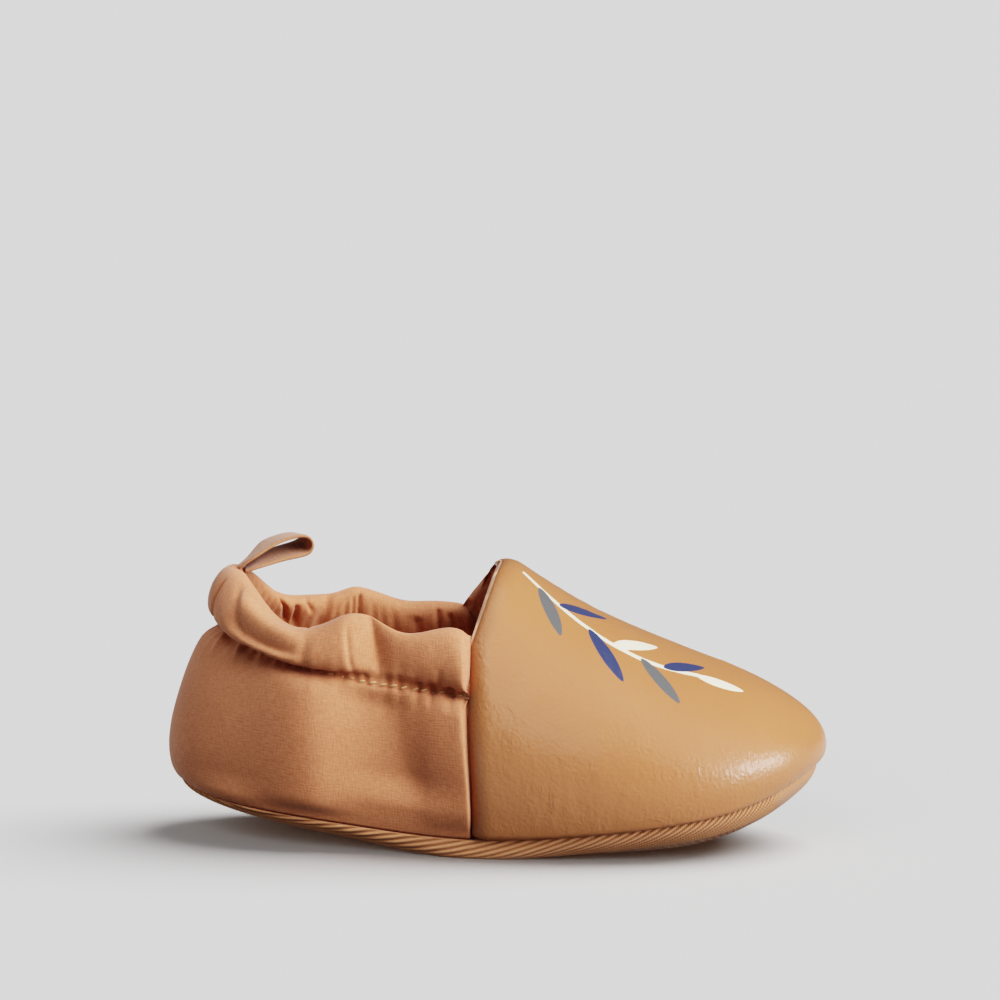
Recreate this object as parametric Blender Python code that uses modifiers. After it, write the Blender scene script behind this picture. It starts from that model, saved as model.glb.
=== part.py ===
"""A baby's soft slipper, standing on its sole: cotton upper with a gathered collar, smooth vamp over the
toes, padded twill sole, insole and a heel loop of tape.

The upper and the sole are lofted from sections of the last. Each section stands on the seam between the
two. Sections are numbered from the heel's back (0) along one side to the toe's tip (9), and are used on
both sides. X runs towards the toe, Y towards the inner side of the foot, Z up. The sole stands on Z = 0.
"""

from collections import namedtuple
from itertools import chain

import bmesh
import bpy
import numpy as np

MM = 0.001

# Driving dimensions, in millimetres
UPPER_WALL = 1.6  # cotton, thin padding and lining together
COLLAR_WALL = 4.0  # casing folded over its elastic
VAMP_THICKNESS = 1.0
SOLE_THICKNESS = 2.4
INSOLE_THICKNESS = 1.8
FIT_GAP = 0.3  # between pieces that are sewn or laid together
VAMP_GAP = 0.4  # the same under the vamp, whose facets cut across the upper's curve
TOE_SWING = 2.5  # how far the toe turns to the inner side
SWING_START = -20.0  # X where that turn begins
CENTRE_X = -0.59  # middle of the slipper's length and width in the tables' own frame
CENTRE_Y = 0.47
TAPE_WIDTH = 8.0
TAPE_THICKNESS = 0.8

# Sizes of the loft
COLUMNS_PER_SECTION = 4
BODY_ROWS = 6
COLLAR_ROWS = 6
THROAT_ROWS = 5
VAMP_ROWS = 10
SOLE_ROWS = 7
DISH_ROWS = 5
INSOLE_ROWS = 4

# Seam between upper and sole, then the sole under it: how far its edge drops before it turns under, how far
# out from the spine the tread starts to rise, and the spine along the middle of the tread. A spine below
# zero makes a flat spot, because the tread is pressed flat at Z = 0.
Outline = namedtuple("Outline", "section x half_width seam_z edge_drop tread spine_x spine_z")
OUTLINE = (
    Outline("heel back", -58.5, 0.0, 9.9, 1.3, 0.42, -30.0, -0.8),
    Outline("heel corner", -53.7, 12.6, 8.7, 1.4, 0.47, -29.5, -0.8),
    Outline("heel side", -41.8, 20.4, 7.0, 1.8, 0.60, -27.0, -0.9),
    Outline("waist", -24.0, 23.6, 5.0, 2.4, 0.70, -18.0, 0.1),
    Outline("vamp seam", -5.4, 26.2, 3.7, 2.8, 0.76, -7.0, 0.2),
    Outline("ball back", 12.0, 27.8, 4.8, 3.2, 0.74, 8.0, -1.0),
    Outline("ball", 26.5, 26.8, 6.4, 3.4, 0.68, 18.0, -1.0),
    Outline("toe side", 41.0, 22.6, 9.1, 3.6, 0.62, 25.0, -0.8),
    Outline("toe corner", 52.2, 13.2, 13.3, 4.0, 0.56, 28.0, -0.6),
    Outline("toe tip", 58.0, 0.0, 16.2, 4.2, 0.54, 29.0, -0.6),
)
VAMP_SECTION = 4
LAST_SECTION = len(OUTLINE) - 1

# Quarter: the stitch line under the collar's casing, the inner edge of the casing's roll, how far the
# body of the quarter bellies out below and above, and how far the casing puffs out.
Quarter = namedtuple(
    "Quarter", "section stitch_x stitch_half stitch_z rim_x rim_half rim_z belly_low belly_high puff"
)
QUARTER = (
    Quarter("heel back", -53.6, 0.0, 37.7, -48.0, 0.0, 47.3, 5.4, 6.2, 2.8),
    Quarter("heel corner", -49.6, 10.8, 36.6, -45.1, 8.6, 44.9, 5.0, 5.8, 2.8),
    Quarter("heel side", -40.3, 18.6, 34.4, -37.4, 15.6, 39.4, 4.4, 5.0, 2.6),
    Quarter("waist", -24.0, 23.2, 31.5, -24.0, 19.8, 42.0, 4.0, 4.5, 2.8),
    Quarter("vamp seam", -6.2, 24.9, 29.9, -6.4, 20.6, 38.4, 3.8, 4.0, 2.6),
)
BELLY_RISE = 6.5  # height of the belly's control points above the seam and below the stitch line
ROLL_RISE = 0.33  # share of the casing's height where its puff is fullest
ROLL_DEPTH = 4.0  # how far the roll's shoulder lies outside its inner edge
ROLL_CROWN = 4.2  # how far that shoulder stands above the inner edge
COLLAR_FADE = 0.4  # share of a section over which the casing flattens to go under the vamp

# Vamp: the ridge along the instep, how far each side leans out and rises from the seam, and how far the
# rounded top reaches out from the ridge.
Vamp = namedtuple("Vamp", "section ridge_x ridge_z lean rise spread")
VAMP = (
    Vamp("vamp seam", -1.0, 50.6, 4.6, 26.0, 22.0),
    Vamp("ball back", 12.5, 43.9, 4.4, 21.0, 20.5),
    Vamp("ball", 23.5, 39.1, 4.0, 16.0, 19.0),
    Vamp("toe side", 32.5, 35.3, 3.4, 11.5, 17.0),
    Vamp("toe corner", 38.0, 33.1, 2.9, 7.4, 15.5),
    Vamp("toe tip", 40.0, 32.3, 2.2, 5.2, 14.8),
)
RIDGE_SLOPE = -0.42  # fall of the ridge for each step forwards
THROAT_BEND = 0.5  # share of the vamp's section above which its rear edge bends forward to the ridge
STITCH_SHARE = 0.375  # place of the stitch line and the rim on the vamp's own section
RIM_SHARE = 0.54

# Sole: its edge rolls out under the seam, and its inside is a shallow dish with a rim for the upper
EDGE_ROLL = 1.2
RIM_WIDTH = 1.7
DISH_FLAT = 0.5  # share of the way out from the spine where the dish starts to rise
DISH_STEEP = 0.85  # share of the way out where it is steepest
DISH_HOLD = 0.6  # share of the rim's height that it has there
INSOLE_REACH = 0.8  # share of the dish that the insole covers
VAMP_START = 0.014  # share of the vamp's section where its lower edge ends, clear of the sole

# Heel loop: the route of the tape from one sewn end to the other, seen from the side
LOOP_ROUTE = (
    (-49.4, 48.5),
    (-47.0, 50.8),
    (-43.8, 53.2),
    (-40.4, 54.5),
    (-37.7, 54.6),
    (-36.2, 53.4),
    (-37.1, 51.8),
    (-39.9, 50.7),
    (-43.2, 49.7),
    (-46.0, 48.7),
    (-47.9, 47.9),
)
LOOP_STEPS = 3  # points for each step of the route

UP = np.array((0.0, 0.0, 1.0))
HEELWARD = np.array((-1.0, 0.0, 0.0))
WELD = 1e-6  # points this close, in metres, are one
TANGENT_STEP = 0.02  # share of a section over which the seam's direction is taken

COLOURS = {
    "cotton": ((0.50, 0.23, 0.11), 0.85),
    "vamp leather": ((0.62, 0.33, 0.13), 0.42),
    "sole twill": ((0.47, 0.22, 0.10), 0.9),
    "insole cotton": ((0.45, 0.22, 0.12), 0.9),
    "loop tape": ((0.52, 0.25, 0.12), 0.85),
}


def clear_scene():
    for obj in list(bpy.data.objects):
        bpy.data.objects.remove(obj)


def material(name):
    colour, roughness = COLOURS[name]
    made = bpy.data.materials.new(name)
    made.use_nodes = True
    shader = made.node_tree.nodes["Principled BSDF"]
    shader.inputs["Base Color"].default_value = (*colour, 1.0)
    shader.inputs["Roughness"].default_value = roughness
    shader.inputs["Metallic"].default_value = 0.0
    return made


# Curves through the tables


def past_end(end, neighbour, kind):
    """Value one step past a column's end: mirrored there, turned over there, or running straight on."""
    return {"even": neighbour, "odd": -neighbour, "open": 2 * end - neighbour}[kind]


def between(values, k, start="even", end="even"):
    """Smooth (Catmull-Rom) value at place k of a column of values."""
    values = list(values)
    first = past_end(values[0], values[1], start)
    last = past_end(values[-1], values[-2], end)
    i = min(int(k), len(values) - 2)
    f = k - i
    a, b, c, d = [first, *values, last][i : i + 4]
    return b + 0.5 * f * (c - a + f * (2 * a - 5 * b + 4 * c - d + f * (3 * (b - c) + d - a)))


def read(table, field, k, start="even", end="even"):
    return between([getattr(row, field) for row in table], k, start, end)


def bezier(p0, p1, p2, p3, t):
    s = 1 - t
    return s**3 * p0 + 3 * s * s * t * p1 + 3 * s * t * t * p2 + t**3 * p3


def smooth_step(x):
    x = min(max(x, 0.0), 1.0)
    return x * x * (3 - 2 * x)


def foot(k, side):
    """Where section k stands on the seam between upper and sole."""
    return np.array(
        (
            read(OUTLINE, "x", k),
            side * read(OUTLINE, "half_width", k, "odd", "odd"),
            read(OUTLINE, "seam_z", k),
        )
    )


def outward(k, side):
    """Level direction that points out of the shoe at section k."""
    if k <= 0:
        return HEELWARD
    if k >= LAST_SECTION:
        return -HEELWARD
    low, high = max(k - TANGENT_STEP, 0), min(k + TANGENT_STEP, LAST_SECTION)
    along = foot(high, side) - foot(low, side)
    out = np.array((-side * along[1], side * along[0], 0.0))
    return out / np.linalg.norm(out)


# The upper's own function


def vamp_point(k, side, t):
    """Point at share t of the vamp's section k, from the seam to the ridge."""
    row = k - VAMP_SECTION
    start = foot(k, side)
    ridge = np.array((read(VAMP, "ridge_x", row, "open"), 0.0, read(VAMP, "ridge_z", row, "open")))
    low = start + outward(k, side) * read(VAMP, "lean", row, "open") + UP * read(VAMP, "rise", row, "open")
    reach = start - ridge
    reach[2] = 0.0
    reach /= np.linalg.norm(reach)
    reach[2] = RIDGE_SLOPE * reach[0]
    high = ridge + reach * read(VAMP, "spread", row, "open")
    point = bezier(start, low, high, ridge, t)
    forward = smooth_step((t - THROAT_BEND) / (1 - THROAT_BEND))
    edge_x = start[0] + (ridge[0] - start[0]) * forward
    point[0] += (edge_x - point[0]) * max(0.0, 1 - row)
    return point


def quarter_point(k, side, t):
    """Point of the quarter's section k: the body up to the stitch line, then the collar's casing."""
    start = foot(k, side)
    out = outward(k, side)
    stitch = np.array(
        (
            read(QUARTER, "stitch_x", k, "even", "open"),
            side * read(QUARTER, "stitch_half", k, "odd", "open"),
            read(QUARTER, "stitch_z", k, "even", "open"),
        )
    )
    rim = np.array(
        (
            read(QUARTER, "rim_x", k, "even", "open"),
            side * read(QUARTER, "rim_half", k, "odd", "open"),
            read(QUARTER, "rim_z", k, "even", "open"),
        )
    )
    if t <= STITCH_SHARE:
        low = start + out * read(QUARTER, "belly_low", k, "even", "open") + UP * BELLY_RISE
        high = stitch + out * read(QUARTER, "belly_high", k, "even", "open") - UP * BELLY_RISE
        point = bezier(start, low, high, stitch, t / STITCH_SHARE)
    else:
        height = rim[2] - stitch[2]
        low = stitch + out * read(QUARTER, "puff", k, "even", "open") + UP * height * ROLL_RISE
        high = rim + out * ROLL_DEPTH + UP * ROLL_CROWN
        point = bezier(stitch, low, high, rim, (t - STITCH_SHARE) / (RIM_SHARE - STITCH_SHARE))
    under_vamp = smooth_step(1 - (VAMP_SECTION - k) / COLLAR_FADE)
    return point + under_vamp * (vamp_point(VAMP_SECTION, side, t) - point)


def wall_share(k, t):
    """Thickness of the upper's wall as a share of the collar's."""
    thin = UPPER_WALL / COLLAR_WALL
    if k >= VAMP_SECTION or t <= STITCH_SHARE:
        return thin
    up_casing = (t - STITCH_SHARE) / (RIM_SHARE - STITCH_SHARE)
    clear_of_vamp = smooth_step((VAMP_SECTION - k) / COLLAR_FADE)
    return thin + (1 - thin) * smooth_step(2 * up_casing) * clear_of_vamp


# The sole's own functions


def spine_point(k):
    return np.array((read(OUTLINE, "spine_x", k), 0.0, read(OUTLINE, "spine_z", k)))


def tread_point(k, side, t):
    """Point at share t of the sole's outside, from the seam round its edge to the spine."""
    start = foot(k, side) - UP * FIT_GAP
    spine = spine_point(k)
    low = start + outward(k, side) * EDGE_ROLL - UP * read(OUTLINE, "edge_drop", k)
    high = spine + (start - spine) * read(OUTLINE, "tread", k)
    high[2] = spine[2]
    point = bezier(start, low, high, spine, t)
    point[2] = max(point[2], 0.0)
    return point


def dish_point(k, side, t):
    """Point at share t of the sole's inside, from the spine to the rim under the upper."""
    rim = foot(k, side) - UP * FIT_GAP - outward(k, side) * RIM_WIDTH
    spine = spine_point(k)
    spine[2] = SOLE_THICKNESS
    flat = spine + (rim - spine) * DISH_FLAT
    flat[2] = spine[2]
    steep = spine + (rim - spine) * DISH_STEEP
    steep[2] = spine[2] + (rim[2] - spine[2]) * DISH_HOLD
    return bezier(spine, flat, steep, rim, t)


# Lofts


def placed(point):
    """The point moved with the forepart's turn to the inner side, from the middle of the slipper's box."""
    reach = max(0.0, point[0] - SWING_START) / (OUTLINE[-1].x - SWING_START)
    return np.array((point[0] - CENTRE_X, point[1] + TOE_SWING * reach * reach - CENTRE_Y, point[2]))


def places_round(first, last):
    """Places (k, side) once round the slipper or part of it, with those on the centre line only once."""
    count = (last - first) * COLUMNS_PER_SECTION
    places = [first + i / COLUMNS_PER_SECTION for i in range(count + 1)]
    back = [k for k in reversed(places) if 0 < k < LAST_SECTION]
    return [(k, -1) for k in places] + [(k, 1) for k in back]


def loft(name, columns, closed, inwards=False, shares=None):
    """Sheet through columns of points, welded where the two sides meet on the centre line. Shares, one for
    each point, become the weights of the piece's first vertex group."""
    sheet = bmesh.new()
    weights = sheet.verts.layers.deform.verify()
    verts = [[sheet.verts.new(placed(point) * MM) for point in points] for points in columns]
    if shares:
        for vert, share in zip(chain(*verts), chain(*shares)):
            vert[weights][0] = share
    neighbours = verts[1:] + verts[:1] if closed else verts[1:]
    for a, b in zip(verts, neighbours):
        for j in range(min(len(a), len(b)) - 1):
            face = (a[j], b[j], b[j + 1], a[j + 1])
            sheet.faces.new(reversed(face) if inwards else face)
    bmesh.ops.remove_doubles(sheet, verts=sheet.verts, dist=WELD)
    mesh = bpy.data.meshes.new(name)
    sheet.to_mesh(mesh)
    sheet.free()
    mesh.shade_smooth()
    return mesh


def offset_columns(columns, distance, centre_normal):
    """Columns of an open sheet moved out along its normals, whose direction on the centre line is given."""
    points = np.array(columns)
    normals = np.cross(np.gradient(points, axis=0), np.gradient(points, axis=1))
    normals[:, -1] = centre_normal
    normals /= np.linalg.norm(normals, axis=2, keepdims=True)
    return points + distance * normals


def add_piece(collection, mesh, finish):
    """The mesh as one piece of the slipper, under the mesh's own name."""
    piece = bpy.data.objects.new(mesh.name, mesh)
    mesh.materials.append(material(finish))
    collection.objects.link(piece)
    return piece


def thicken(piece, thickness, offset):
    """Turns a sheet into a wall: offset -1 is inwards, 0 is both ways and 1 is outwards."""
    wall = piece.modifiers.new("wall", "SOLIDIFY")
    wall.thickness = thickness * MM
    wall.offset = offset
    wall.use_quality_normals = True
    return wall


# The pieces


def make_upper(collection):
    lower = list(np.linspace(0, STITCH_SHARE, BODY_ROWS + 1))
    casing = list(np.linspace(STITCH_SHARE, RIM_SHARE, COLLAR_ROWS + 1))[1:]
    throat = list(np.linspace(RIM_SHARE, 1, THROAT_ROWS + 1))[1:]
    columns, shares = [], []
    for k, side in places_round(0, LAST_SECTION):
        on_vamp = k >= VAMP_SECTION
        section = vamp_point if on_vamp else quarter_point
        heights = lower + casing + (throat if on_vamp else [])
        columns.append([section(k, side, t) for t in heights])
        shares.append([wall_share(k, t) for t in heights])
    upper = add_piece(collection, loft("upper", columns, closed=True, shares=shares), "cotton")
    wall = thicken(upper, COLLAR_WALL, -1)
    wall.vertex_group = upper.vertex_groups.new(name="wall share").name
    wall.thickness_vertex_group = 0.0


def make_vamp(collection):
    shares = np.linspace(VAMP_START, 1, VAMP_ROWS + 1)
    places = places_round(VAMP_SECTION, LAST_SECTION)
    columns = [[vamp_point(k, side, t) for t in shares] for k, side in places]
    columns = offset_columns(columns, VAMP_GAP, centre_normal=(-RIDGE_SLOPE, 0, 1))
    vamp = add_piece(collection, loft("vamp", columns, closed=False), "vamp leather")
    thicken(vamp, VAMP_THICKNESS, 1)


def make_sole(collection):
    inside = np.linspace(0, 1, DISH_ROWS + 1)
    outside = np.linspace(0, 1, SOLE_ROWS + 1)
    columns = [
        [dish_point(k, side, t) for t in inside] + [tread_point(k, side, t) for t in outside]
        for k, side in places_round(0, LAST_SECTION)
    ]
    add_piece(collection, loft("outsole", columns, closed=True, inwards=True), "sole twill")


def make_insole(collection):
    shares = np.linspace(0, INSOLE_REACH, INSOLE_ROWS + 1)
    columns = []
    for k, side in places_round(0, LAST_SECTION):
        under = [dish_point(k, side, t) + UP * FIT_GAP for t in shares]
        columns.append([p + UP * INSOLE_THICKNESS for p in under] + under[::-1])
    add_piece(collection, loft("insole", columns, closed=True, inwards=True), "insole cotton")


def make_loop(collection):
    steps = np.linspace(0, len(LOOP_ROUTE) - 1, (len(LOOP_ROUTE) - 1) * LOOP_STEPS + 1)
    xs, zs = zip(*LOOP_ROUTE)
    route = [(between(xs, k, "open", "open"), between(zs, k, "open", "open")) for k in steps]
    columns = [[np.array((x, y, z)) for x, z in route] for y in (-TAPE_WIDTH / 2, TAPE_WIDTH / 2)]
    loop = add_piece(collection, loft("pull_loop", columns, closed=False), "loop tape")
    thicken(loop, TAPE_THICKNESS, 0)


def main():
    clear_scene()
    collection = bpy.data.collections.new("soft_slipper")
    bpy.context.scene.collection.children.link(collection)
    make_upper(collection)
    make_vamp(collection)
    make_sole(collection)
    make_insole(collection)
    make_loop(collection)


main()
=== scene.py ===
import math

import bmesh
import bpy
import numpy as np
from mathutils import Matrix, Vector
from mathutils.kdtree import KDTree


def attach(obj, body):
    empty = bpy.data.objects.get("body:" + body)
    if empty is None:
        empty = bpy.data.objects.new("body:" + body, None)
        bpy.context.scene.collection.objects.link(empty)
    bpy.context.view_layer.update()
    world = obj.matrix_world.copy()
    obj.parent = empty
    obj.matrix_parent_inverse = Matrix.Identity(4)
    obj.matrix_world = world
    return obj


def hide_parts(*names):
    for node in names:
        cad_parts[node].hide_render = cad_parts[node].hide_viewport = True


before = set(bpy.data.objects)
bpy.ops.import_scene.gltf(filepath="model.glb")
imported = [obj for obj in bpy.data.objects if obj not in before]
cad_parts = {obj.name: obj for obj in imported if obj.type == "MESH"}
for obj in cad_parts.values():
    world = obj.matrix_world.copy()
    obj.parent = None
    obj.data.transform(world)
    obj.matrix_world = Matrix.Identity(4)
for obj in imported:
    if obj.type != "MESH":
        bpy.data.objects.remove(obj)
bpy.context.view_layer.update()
scene = bpy.context.scene
mm = 0.001
up = np.array((0.0, 0.0, 1.0))

# The last, section by section from the heel's back (0) to the toe's tip (9), in mm as in the part
last = {
    "x": (-58.5, -53.7, -41.8, -24, -5.4, 12, 26.5, 41, 52.2, 58),
    "half": (0, 12.6, 20.4, 23.6, 26.2, 27.8, 26.8, 22.6, 13.2, 0),
    "seamZ": (9.9, 8.7, 7, 5, 3.7, 4.8, 6.4, 9.1, 13.3, 16.2),
    "edgeDrop": (1.3, 1.4, 1.8, 3, 5.4, 3.8, 3.4, 3.6, 4, 4.2),
    "tread": (0.34, 0.36, 0.46, 0.78, 1, 0.8, 0.68, 0.62, 0.56, 0.54),
    "spineX": (-30, -29.5, -27, -18, -7, 8, 18, 25, 28, 29),
    "spineZ": (1.4, 1.4, 1.2, 0.3, -0.6, -1, -1, -0.8, -0.6, -0.6),
}
seamSection = 4  # where the vamp is sewn to the quarter
tipSection = 9
toeSwing = {"start": -20.0, "reach": 78.0, "turn": 2.5, "centreX": -0.59, "centreY": 0.47}


def along(values, k, level=(True, True)):
    # smooth curve through the values: a level end has no slope there, the other kind runs straight on
    v = np.asarray(values, float)
    n = len(v)
    a, b = np.zeros((n, n)), np.zeros(n)
    for i in range(1, n - 1):
        a[i, i - 1 : i + 2] = 1, 4, 1
        b[i] = 6 * (v[i + 1] - 2 * v[i] + v[i - 1])
    a[0, :2] = (2, 1) if level[0] else (1, 0)
    b[0] = 6 * (v[1] - v[0]) if level[0] else 0
    a[-1, -2:] = (1, 2) if level[1] else (0, 1)
    b[-1] = 6 * (v[-2] - v[-1]) if level[1] else 0
    bend = np.linalg.solve(a, b)
    i = np.clip(np.floor(k).astype(int), 0, n - 2)
    f = k - i
    g = 1 - f
    return g * v[i] + f * v[i + 1] + ((g**3 - g) * bend[i] + (f**3 - f) * bend[i + 1]) / 6


def smooth(x):
    x = np.clip(x, 0.0, 1.0)
    return x * x * (3 - 2 * x)


def bell(x, width):
    return np.exp(-((x / width) ** 2))


def bezier(p0, p1, p2, p3, t):
    # one point for each column, one share for each row
    t = np.asarray(t, float)[None, :, None]
    p0, p1, p2, p3 = (p[:, None, :] for p in (p0, p1, p2, p3))
    return (1 - t) ** 3 * p0 + 3 * (1 - t) ** 2 * t * p1 + 3 * (1 - t) * t * t * p2 + t**3 * p3


def footLine(k, side):
    # seam between upper and sole; side is -1 near the camera and 1 beyond
    half = side * along(last["half"], k, (False, False))
    return np.stack((along(last["x"], k), half, along(last["seamZ"], k)), -1)


def outFrom(line, turn):
    t = np.gradient(line[:, :2], axis=0)
    out = turn * np.stack((-t[:, 1], t[:, 0], 0 * t[:, 0]), -1)
    return out / np.linalg.norm(out, axis=1, keepdims=True)


def unit(v):
    return v / np.maximum(np.linalg.norm(v, axis=-1, keepdims=True), 1e-9)


def facing(grid, turn):
    # outward normals of a grid of columns and rows
    return turn * unit(np.cross(np.gradient(grid, axis=0), np.gradient(grid, axis=1)))


def lengthAlong(points, axis):
    # running length in mm along one axis of a grid, from its first point
    step = np.linalg.norm(np.diff(points, axis=axis), axis=-1)
    return np.insert(np.cumsum(step, axis=axis), 0, 0.0, axis=axis)


def fromEnds(grid):
    # length in mm from the nearer end of the columns' way
    return np.minimum(lengthAlong(grid, 0), lengthAlong(grid[::-1], 0)[::-1])


def cloud(points, size, seed, count=512):
    # soft random swells from -1 to 1, patches of about that size in mm
    draw = np.random.default_rng(seed)
    table = draw.permutation(count)
    value = draw.uniform(-1, 1, count)
    p = np.asarray(points, float) / size
    base = np.floor(p).astype(int)
    f = p - base
    f = f * f * f * (f * (f * 6 - 15) + 10)
    total = 0
    for dx in (0, 1):
        for dy in (0, 1):
            for dz in (0, 1):
                i = table[(base[..., 0] + dx) % count]
                i = table[(i + base[..., 1] + dy) % count]
                i = (i + base[..., 2] + dz) % count
                w = (f[..., 0] if dx else 1 - f[..., 0]) * (f[..., 1] if dy else 1 - f[..., 1])
                total += w * (f[..., 2] if dz else 1 - f[..., 2]) * value[i]
    return total


def placed(points):
    # forepart turned to the inner side and the middle of the box at the origin, as in the part
    s = toeSwing
    reach = np.maximum(0, points[..., 0] - s["start"]) / s["reach"]
    moved = np.array(points, float)
    moved[..., 0] -= s["centreX"]
    moved[..., 1] += s["turn"] * reach * reach - s["centreY"]
    return moved


def inScene(name, data):
    thing = bpy.data.objects.new(name, data)
    scene.collection.objects.link(thing)
    return thing


def buildPiece(name, sheets):
    # sheets are (grid, uv in mm, flip); edges that meet are welded
    points, faces, uvs, count = [], [], [], 0
    for grid, uv, flip in sheets:
        c, r = grid.shape[:2]
        i, j = np.meshgrid(np.arange(c - 1), np.arange(r - 1), indexing="ij")
        a = (i * r + j).ravel()
        quad = np.stack((a, a + r, a + r + 1, a + 1), -1)
        quad = quad[:, ::-1] if flip else quad
        points.append(placed(grid.reshape(-1, 3)) * mm)
        uvs.append(uv.reshape(-1, 2)[quad].reshape(-1, 2))
        faces.append(quad + count)
        count += c * r
    points, faces, uvs = np.concatenate(points), np.concatenate(faces), np.concatenate(uvs)
    mesh = bpy.data.meshes.new(name)
    mesh.from_pydata(points, [], faces.tolist())
    layer = mesh.uv_layers.new(name="clothMm")
    layer.data.foreach_set("uv", uvs.astype(np.float32).ravel())
    work = bmesh.new()
    work.from_mesh(mesh)
    bmesh.ops.remove_doubles(work, verts=work.verts, dist=1e-6)
    bmesh.ops.dissolve_degenerate(work, edges=work.edges, dist=1e-7)
    work.to_mesh(mesh)
    work.free()
    mesh.shade_smooth()
    print("built", name, len(mesh.polygons), "faces")
    return inScene(name, mesh)


def keepValues(mesh, name, values, kind="FLOAT"):
    # stores one value or vector for each point
    layer = mesh.attributes.new(name, kind, "POINT")
    layer.data.foreach_set("value" if kind == "FLOAT" else "vector", values.astype(np.float32).ravel())


def gridUv(grid, along0=0.0):
    # cloth coordinates in mm: length along the columns' way, then along the rows
    u = lengthAlong(grid, 0) + along0
    middle = u[:, u.shape[1] // 2]
    v = lengthAlong(grid, 1)
    return np.stack((np.broadcast_to(middle[:, None], v.shape), v), -1)


# Vamp: ridge along the instep, lean and rise of the sides, reach of the rounded top
vampForm = {
    "ridgeX": (-1, 12.5, 23.5, 32.5, 38, 40),
    "ridgeZ": (51.2, 43.2, 38, 34.7, 32.9, 32.3),
    "lean": (8, 8.6, 7.8, 5.8, 3.8, 2.2),
    "rise": (23, 18, 14.5, 11, 7.4, 5.2),
    "spread": (22, 20.5, 19, 17, 15.5, 14.8),
    "slope": -0.42, "throatStart": 0.53, "throatCurve": 1.6, "seamLean": 1.0, "leanReach": 0.35,
}
stitchShare, rimShare = 0.375, 0.54  # where the collar's two edges meet the vamp's section


def vampSheet(k, side, shares):
    f = vampForm
    row = k - seamSection
    start = footLine(k, side)
    out = outFrom(start, -1)
    get = lambda name: along(f[name], row, (False, True))
    ridge = np.stack((get("ridgeX"), 0 * row, get("ridgeZ")), -1)
    low = start + out * get("lean")[:, None] + up * get("rise")[:, None]
    reach = unit((start - ridge) * (1, 1, 0))
    reach[:, 2] = f["slope"] * reach[:, 0]
    high = ridge + reach * get("spread")[:, None]
    grid = bezier(start, low, high, ridge, shares)
    left = np.clip((1 - shares) / (1 - f["throatStart"]), 0, 1)
    forward = 1 - left ** f["throatCurve"]
    edgeX = start[:, :1] + (ridge[:, :1] - start[:, :1]) * forward[None, :]
    edgeX = edgeX - f["seamLean"] * (smooth(shares / f["leanReach"]) * (1 - forward))[None, :]
    grid[..., 0] += (edgeX - grid[..., 0]) * smooth(1 - row)[:, None]
    return grid


def vampNormals(grid, shares):
    n = facing(grid, 1)
    n[:, shares >= 1] = unit(np.array((-vampForm["slope"], 0.0, 1.0)))
    return n


def edgeRoll(distance, length, depth):
    # how far a rolled edge has turned in, at that distance from its end
    e = 1 - np.clip(distance / length, 0, 1)
    return depth * (1 - np.sqrt(1 - e * e))


# Quarter with its collar casing, one padded loop of cloth from the outer seam over the rim to the lining
quarterSizes = {
    "stitchX": (-53.6, -49.6, -40.3, -24, -6.2),
    "stitchHalf": (0, 10.8, 18.6, 23.2, 24.9),
    "stitchZ": (39.2, 38, 34.9, 31.5, 29.9),
    "rimX": (-48, -45.1, -37.4, -24, -6),
    "rimHalf": (0, 8.6, 15.6, 19.8, 20.6),
    "rimZ": (48, 45.2, 39.6, 42, 38.4),
    "bellyLow": (6, 4.8, 2.4, 2, 3.8),
    "bellyHigh": (5.7, 5.7, 5, 4.5, 4),
    "puff": (3, 6.4, 8, 4.2, 3.8),
    "puffRise": (0.42, -0.05, -0.5, 0.3, 0.25),
    "bellyStart": (1.2, 2.4, 4, 4.6, 5),
    "bellyRise": 6.5, "rollDepth": 4.0, "rollCrown": 4.2, "wall": 1.7, "columns": 60,
    "bodyRows": 54, "casingRows": 42, "innerRows": 30, "liningRows": 22, "seamRoll": (2.0, 1.3),
    "vampBlend": 0.4, "pinchCurve": 1.5, "rimTuck": (1.5, 1.6), "liningTuck": (1.9, 3.0),
    "grooveDepth": 0.75, "grooveBehind": 0.8, "grooveWidth": 0.9, "hollowBehind": 1.6,
    "heelEnd": 36.0, "heelFade": 8.0, "pucker": 0.12, "puckerReach": (3.2, 2.6),
    "dimple": (0.16, 0.9), "bodySwell": 0.16, "casingSwell": 0.22, "foldFree": 3.0, "moveFree": 4.0,
    "casingFree": 2.2, "seamFree": 1.8, "endShare": 6.0, "innerRoll": (1.4, 1.4),
    "cornerNotch": 0.5, "notchReach": (1.6, 2.0, 2.4),
}

# Swells of the rim: side, mm along the stitch line from the heel's middle, half width, lift
rimSwells = (
    (-1, 27.5, 5.5, -0.4),
    (-1, 37, 5, 0.9),
    (-1, 48, 5.5, -2.3),
    (-1, 58, 4, 0.5),
    (1, 26, 6.5, 1.2),
    (1, 36.5, 3.5, 0.9),
    (1, 47.5, 6, -2.1),
    (1, 58.5, 3, 0.4),
)
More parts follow.
